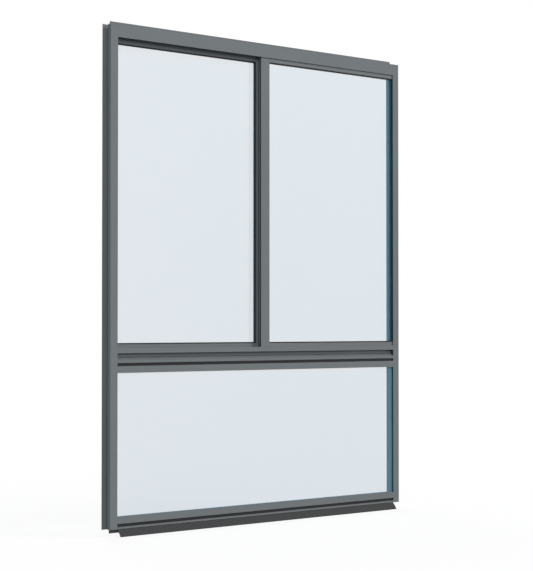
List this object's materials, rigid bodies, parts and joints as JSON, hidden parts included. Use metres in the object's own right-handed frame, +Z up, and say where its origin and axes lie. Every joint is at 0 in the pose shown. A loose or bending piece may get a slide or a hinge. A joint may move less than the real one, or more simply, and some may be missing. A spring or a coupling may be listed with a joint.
{
  "type": "horizontal sliding window over a fixed lower light",
  "caption": "Dark grey aluminium window frame: a sliding sash beside a fixed pane above a transom, a fixed low pane below, a fixing fin all round and a flexible sill flap.",
  "frame": {"origin": "on the back of the sill's fixing fin, at the middle of the width and level with the foot of the jambs", "axes": "+Z up, +X to the right seen from outdoors, outdoors towards -Y and the room towards +Y"},
  "size_m": [1.538, 0.079, 1.84],
  "materials": {
    "powder_coat": "satin grey powder coat",
    "glass": "clear float glass with a blue-green edge",
    "gasket": "matt black rubber",
    "isolator": "matt black plastic",
    "flap": "dark grey flexible plastic",
    "brush": "grey brush pile",
    "bracket": "zinc plated steel",
    "nylon": "natural nylon",
    "latch": "satin dark grey paint"
  },
  "bodies": {
    "root": {"antilift_block_left": "nylon", "antilift_block_right": "nylon", "bottom_indoor_brush": "brush", "bottom_outdoor_brush": "brush", "fixed_gasket": "gasket", "fixed_glass": "glass", "fixed_head_bead": "powder_coat", "fixed_jamb_bead": "powder_coat", "fixed_sill_bead": "powder_coat", "head": "powder_coat", "left_jamb": "powder_coat", "lower_bead_bottom": "powder_coat", "lower_bead_left": "powder_coat", "lower_bead_right": "powder_coat", "lower_bead_top": "powder_coat", "lower_gasket": "gasket", "lower_glass": "glass", "lower_light_head": "powder_coat", "lower_light_sill": "powder_coat", "meeting_stile": "powder_coat", "right_jamb": "powder_coat", "roller_bracket_left": "bracket", "roller_bracket_right": "bracket", "roller_wheel_left": "nylon", "roller_wheel_right": "nylon", "sash_bottom_rail": "powder_coat", "sash_gasket": "gasket", "sash_glass": "glass", "sash_latch": "latch", "sash_lock_stile": "powder_coat", "sash_meeting_stile": "powder_coat", "sash_top_rail": "powder_coat", "sill_flap": "flap", "sill_isolator": "isolator", "sub_sill": "powder_coat", "top_indoor_brush": "brush", "top_outdoor_brush": "brush", "transom": "powder_coat", "transom_isolator": "isolator"}
  },
  "joints": []
}
